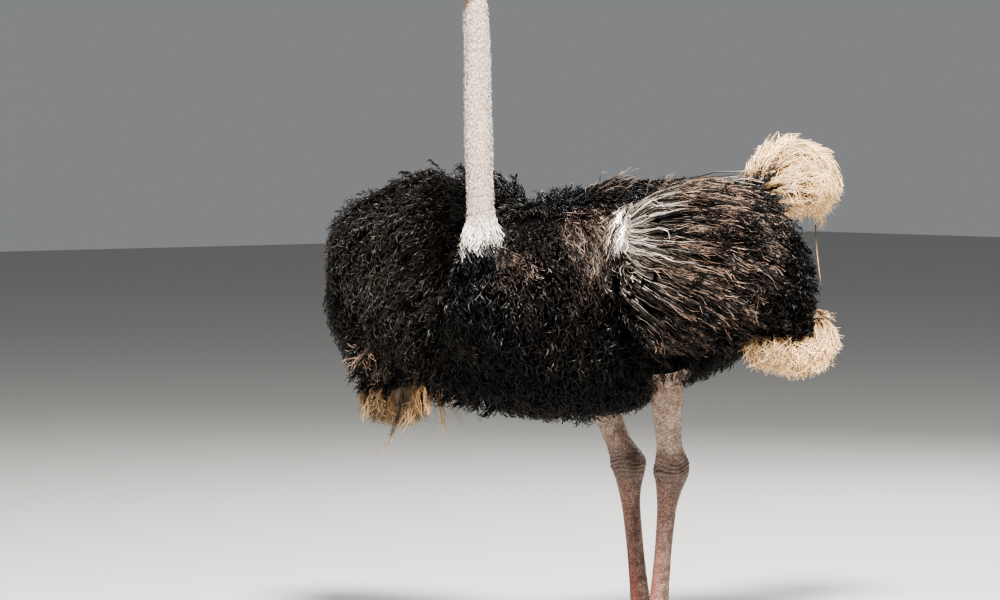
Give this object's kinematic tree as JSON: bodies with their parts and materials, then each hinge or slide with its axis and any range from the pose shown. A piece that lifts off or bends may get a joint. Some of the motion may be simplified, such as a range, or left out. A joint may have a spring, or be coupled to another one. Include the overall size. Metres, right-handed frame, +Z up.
{
  "type": "ostrich",
  "caption": "Adult male ostrich standing still with both wings held out and lowered, black plumage, pale tail and flight plumes, bare grey neck and legs.",
  "frame": {"origin": "on the floor, under the middle of the whole bird's box", "axes": "+Z up, the bird faces -Y, its left side is +X"},
  "size_m": [1.7478, 1.5565, 1.9126],
  "materials": {
    "neck_skin": "matt bare skin under short pale down",
    "body_plumage": "flesh under a coat of loose curly black feathers",
    "wing_plumes": "soft loose black plumes",
    "pale_plumes": "soft loose cream plumes",
    "leg_skin": "dry wrinkled and scaly skin",
    "bill": "dull horn",
    "claw": "dull horn",
    "eye": "wet and shiny"
  },
  "bodies": {
    "root": {"head": "neck_skin", "neck_upper": "neck_skin", "neck_middle": "neck_skin", "neck_lower": "neck_skin", "neck_base": "body_plumage", "trunk": "body_plumage", "thigh_left": "body_plumage", "thigh_right": "body_plumage", "wing_left": "wing_plumes", "wing_right": "wing_plumes", "tail": "pale_plumes", "flight_plumes_left": "pale_plumes", "flight_plumes_right": "pale_plumes", "shank_left": "leg_skin", "shank_right": "leg_skin", "tarsus_left": "leg_skin", "tarsus_right": "leg_skin", "toe_big_left": "leg_skin", "toe_big_right": "leg_skin", "toe_small_left": "leg_skin", "toe_small_right": "leg_skin", "bill_upper": "bill", "bill_lower": "bill", "claw_big_left": "claw", "claw_big_right": "claw", "claw_small_left": "claw", "claw_small_right": "claw", "eye_left": "eye", "eye_right": "eye"}
  },
  "joints": []
}
